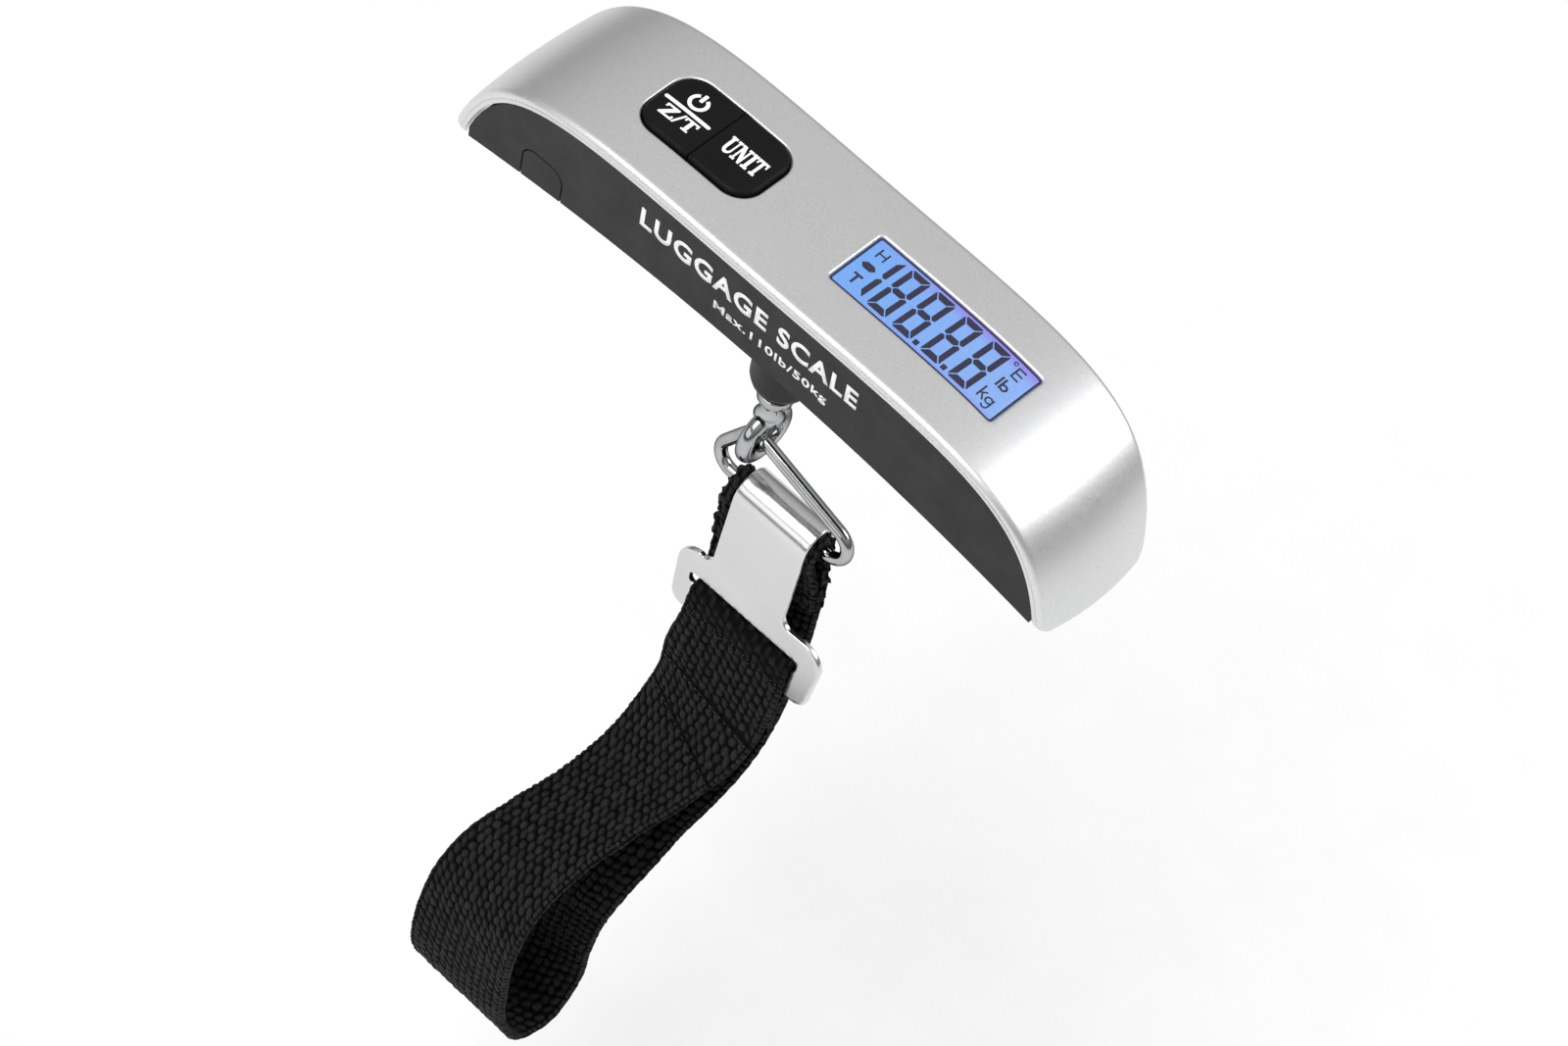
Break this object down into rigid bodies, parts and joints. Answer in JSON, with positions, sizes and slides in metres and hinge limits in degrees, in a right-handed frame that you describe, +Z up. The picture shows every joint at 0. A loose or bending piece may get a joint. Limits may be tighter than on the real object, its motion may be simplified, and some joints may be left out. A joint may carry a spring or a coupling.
{
  "type": "digital luggage scale",
  "caption": "Hand-held digital luggage scale: arched silver and black grip with a blue display and two keys, swivel eye, wire ring, and a hook plate on a black webbing loop",
  "frame": {"origin": "midway between the grip's two tips, level with their lowest edge, in the middle of the grip's width", "axes": "+X runs along the grip from the keys' end towards the display's end, +Z points up out of the display side, -Y is the printed side with the battery door's thumb tab, and the eye, ring, hook and webbing hang towards -Z"},
  "size_m": [0.1416, 0.0618, 0.205],
  "materials": {
    "silver_cover": "satin silver paint on moulded plastic",
    "black_housing": "fine matt dark-grey moulded plastic",
    "keys": "smooth near-black key caps",
    "rubber": "moulded silicone rubber",
    "chip_black": "moulded component bodies",
    "clear_window": "clear polished window",
    "display_blue": "blue-lit segment display glass",
    "white_plastic": "white moulded plastic",
    "board_green": "solder-masked circuit board",
    "beam_aluminium": "machined aluminium",
    "bright_steel": "bright steel",
    "hook_steel": "smooth pressed steel plate",
    "gauge_foil": "foil gauge on its carrier film",
    "chrome": "polished chrome plate",
    "brass": "plain brass",
    "black_webbing": "coarse woven polypropylene webbing",
    "wire_red": "insulated wire",
    "wire_black": "insulated wire"
  },
  "bodies": {
    "grip": {"top_cover": "silver_cover", "lower_housing": "black_housing", "key_mat": "rubber", "tact_switch_power": "chip_black", "tact_switch_unit": "chip_black", "lcd_window": "clear_window", "lcd_glass": "display_blue", "backlight_guide": "white_plastic", "zebra_strip": "rubber", "lcd_frame": "white_plastic", "main_board": "board_green", "controller_chip": "chip_black", "amplifier_chip": "chip_black", "load_cell_beam": "beam_aluminium", "cell_bracket": "bright_steel", "strain_gauge_1": "gauge_foil", "strain_gauge_2": "gauge_foil", "cell_screw_1": "bright_steel", "cell_screw_2": "bright_steel", "neck_bush": "brass", "coin_cell": "bright_steel", "contact_positive": "brass", "contact_negative": "brass", "lead_positive": "wire_red", "lead_negative": "wire_black", "gauge_lead": "wire_red", "housing_screw_1": "bright_steel", "housing_screw_2": "bright_steel", "housing_screw_3": "bright_steel", "housing_screw_4": "bright_steel"},
    "door": {"battery_door": "black_housing"},
    "power_button": {"power_key": "keys"},
    "unit_button": {"unit_key": "keys"},
    "eye": {"eye_bolt": "chrome", "eye_nut": "bright_steel", "eye_washer": "bright_steel"},
    "ring": {"triangle_ring": "chrome"},
    "strap": {"strap": "black_webbing"},
    "hook": {"hook_plate": "hook_steel", "hook_loop": "black_webbing"}
  },
  "joints": [
    {"name": "eye_swivel", "type": "hinge", "parent": "grip", "child": "eye", "pos_m": [0, 0, -0.02], "axis": [0, 0, 1], "continuous": true},
    {"name": "ring_swing", "type": "hinge", "parent": "eye", "child": "ring", "pos_m": [0, 0, -0.026], "axis": [1, 0, 0], "range_deg": [-60, 60]},
    {"name": "strap_swing", "type": "hinge", "parent": "ring", "child": "strap", "pos_m": [0.0105, 0, -0.041], "axis": [1, 0, 0], "range_deg": [-45, 45]},
    {"name": "hook_pivot", "type": "hinge", "parent": "strap", "child": "hook", "pos_m": [0.0105, 0, -0.041], "axis": [-1, 0, 0], "range_deg": [0, 20]},
    {"name": "power_key_press", "type": "slide", "parent": "grip", "child": "power_button", "axis": [0, 0, -1], "range_m": [0, 0.0005], "stiffness_N_per_m": 800},
    {"name": "unit_key_press", "type": "slide", "parent": "grip", "child": "unit_button", "axis": [0, 0, -1], "range_m": [0, 0.0005], "stiffness_N_per_m": 800},
    {"name": "battery_door_pull", "type": "slide", "parent": "grip", "child": "door", "axis": [0, 0, -1], "range_m": [0, 0.014]}
  ]
}
